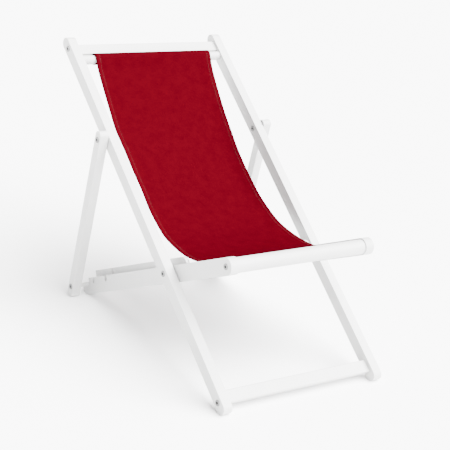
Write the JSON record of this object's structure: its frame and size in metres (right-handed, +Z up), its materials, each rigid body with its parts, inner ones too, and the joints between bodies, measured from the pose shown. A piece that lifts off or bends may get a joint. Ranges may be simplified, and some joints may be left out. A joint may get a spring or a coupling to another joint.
{
  "type": "folding sling deck chair",
  "caption": "Folding garden deck chair: painted timber back frame, seat frame and rear prop, with one cloth sling.",
  "frame": {"origin": "middle of the chair's box at ground level", "axes": "+Z up, the sitter faces -Y, +X to the right seen from the front"},
  "size_m": [0.6044, 0.996, 0.7264],
  "materials": {
    "painted_wood": "satin paint",
    "sling_fabric": "plain woven canvas",
    "bolt_steel": "satin"
  },
  "bodies": {
    "long_frame": {"long_rail_left": "painted_wood", "long_rail_right": "painted_wood", "head_crossbar": "painted_wood", "foot_crossbar": "painted_wood", "head_dowel": "painted_wood", "head_bolt_left": "bolt_steel", "head_bolt_right": "bolt_steel", "foot_bolt_left": "bolt_steel", "foot_bolt_right": "bolt_steel", "seat_pivot_bolt_left": "bolt_steel", "seat_pivot_bolt_right": "bolt_steel", "seat_pivot_nut_left": "bolt_steel", "seat_pivot_nut_right": "bolt_steel", "seat_pivot_washer_left": "bolt_steel", "seat_pivot_washer_right": "bolt_steel", "prop_pivot_bolt_left": "bolt_steel", "prop_pivot_bolt_right": "bolt_steel", "prop_pivot_nut_left": "bolt_steel", "prop_pivot_nut_right": "bolt_steel", "prop_pivot_washer_left": "bolt_steel", "prop_pivot_washer_right": "bolt_steel", "sling": "sling_fabric"},
    "seat_frame": {"seat_board_left": "painted_wood", "seat_board_right": "painted_wood", "notch_plate_left": "painted_wood", "notch_plate_right": "painted_wood", "front_bar": "painted_wood", "seat_dowel": "painted_wood", "front_bar_bolt_left": "bolt_steel", "front_bar_bolt_right": "bolt_steel"},
    "prop": {"prop_strut_left": "painted_wood", "prop_strut_right": "painted_wood", "prop_rod": "painted_wood", "prop_rod_bolt_left": "bolt_steel", "prop_rod_bolt_right": "bolt_steel"}
  },
  "joints": [
    {"name": "seat_frame_fold", "type": "hinge", "parent": "long_frame", "child": "seat_frame", "pos_m": [0, -0.15381, 0.2525], "axis": [1, 0, 0], "range_deg": [0, 63.9], "deforming": ["sling"]},
    {"name": "prop_swing", "type": "hinge", "parent": "long_frame", "child": "prop", "pos_m": [0, 0.20414, 0.51009], "axis": [1, 0, 0], "range_deg": [0, 119.3]}
  ],
  "couplings": [
    {"joint": "prop_swing", "follows": "seat_frame_fold", "ratio": 1.8656}
  ]
}
